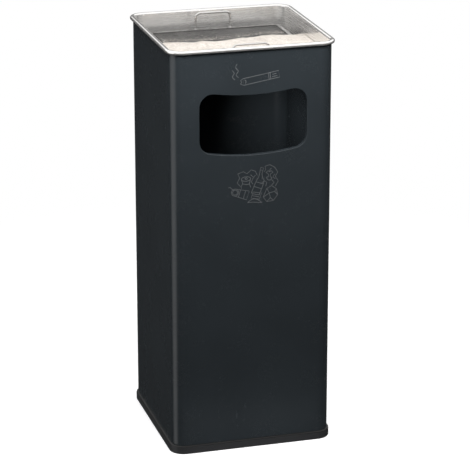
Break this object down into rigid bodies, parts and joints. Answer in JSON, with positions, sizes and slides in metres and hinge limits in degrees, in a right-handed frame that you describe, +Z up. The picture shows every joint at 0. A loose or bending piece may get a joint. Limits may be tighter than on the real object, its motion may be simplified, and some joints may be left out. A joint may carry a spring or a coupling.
{
  "type": "ashtray bin",
  "caption": "Square free-standing litter bin with a front waste opening, an inner liner with a bail, and a lift-out stainless ash pan on top holding sand and a sieve with wire handles.",
  "frame": {"origin": "centre of the footprint, on the floor", "axes": "+Z up; the front wall with the waste opening faces -Y; +X is to the right seen from the front"},
  "size_m": [0.2576, 0.2576, 0.6311],
  "materials": {
    "housing_paint": "semi-gloss black-grey powder coat",
    "galvanised": "galvanised sheet, dull spangle",
    "stainless": "drawn stainless, satin to bright",
    "guard_plastic": "matt black",
    "sand": "loose pale sand"
  },
  "bodies": {
    "housing": {"body_shell": "housing_paint", "base_plate": "galvanised", "edge_guard": "guard_plastic"},
    "liner": {"liner_shell": "galvanised", "liner_bottom": "galvanised", "liner_rim_wire": "galvanised", "bail_ear_left": "galvanised", "bail_ear_right": "galvanised", "ear_rivets": "galvanised"},
    "bail": {"liner_bail": "galvanised"},
    "pan": {"ash_pan": "stainless", "sand_bed": "sand"},
    "sieve": {"sieve_mesh": "stainless", "sieve_binding": "stainless", "sieve_handle_front": "stainless", "sieve_handle_rear": "stainless"}
  },
  "joints": [
    {"name": "liner_lift", "type": "slide", "parent": "housing", "child": "liner", "axis": [0, 0, 1], "range_m": [0, 0.65]},
    {"name": "bail_swing", "type": "hinge", "parent": "liner", "child": "bail", "pos_m": [0, 0, 0.3553], "axis": [1, 0, 0], "range_deg": [0, 180]},
    {"name": "pan_lift", "type": "slide", "parent": "liner", "child": "pan", "axis": [0, 0, 1], "range_m": [0, 0.12]},
    {"name": "sieve_lift", "type": "slide", "parent": "pan", "child": "sieve", "axis": [0, 0, 1], "range_m": [0, 0.1], "deforming": ["sand_bed"]}
  ]
}
